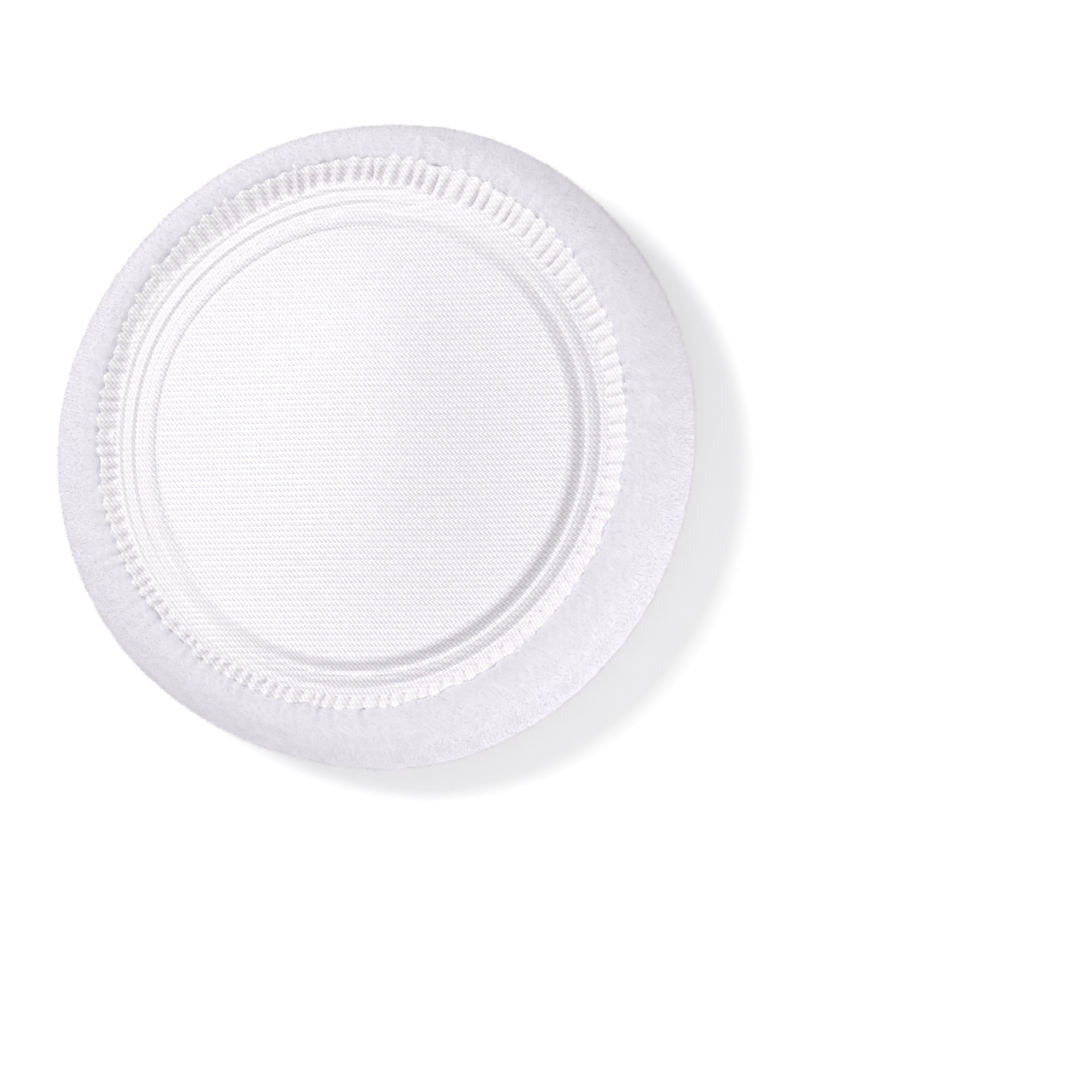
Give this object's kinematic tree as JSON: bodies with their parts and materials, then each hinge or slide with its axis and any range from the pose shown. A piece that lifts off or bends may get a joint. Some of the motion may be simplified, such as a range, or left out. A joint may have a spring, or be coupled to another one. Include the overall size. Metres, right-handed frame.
{
  "type": "powder puff",
  "caption": "Round plush velour powder puff with a sponge core and a satin back, its middle pressed with ring beads and its rim gathered into fine pleats at the seam.",
  "frame": {"origin": "middle of the velour face, on the plane that the puff lies on", "axes": "+Z through the puff from the velour face to the satin back; +X and +Y lie in the plane of the face, and the puff is round about +Z"},
  "size_m": [0.07, 0.07, 0.0132],
  "materials": {
    "velour": "dense short plush pile, matt, cool white",
    "satin": "white polyester satin with short slanted floats, soft sheen",
    "pressed_pad": "firm heat-pressed white felt pad, matt",
    "sponge": "soft open-cell foam, matt, cream",
    "thread": "white polyester sewing thread"
  },
  "bodies": {
    "root": {"velour_cover": "velour", "satin_back": "satin", "backing_disc": "pressed_pad", "sponge_core": "sponge", "draw_thread": "thread"}
  },
  "joints": []
}
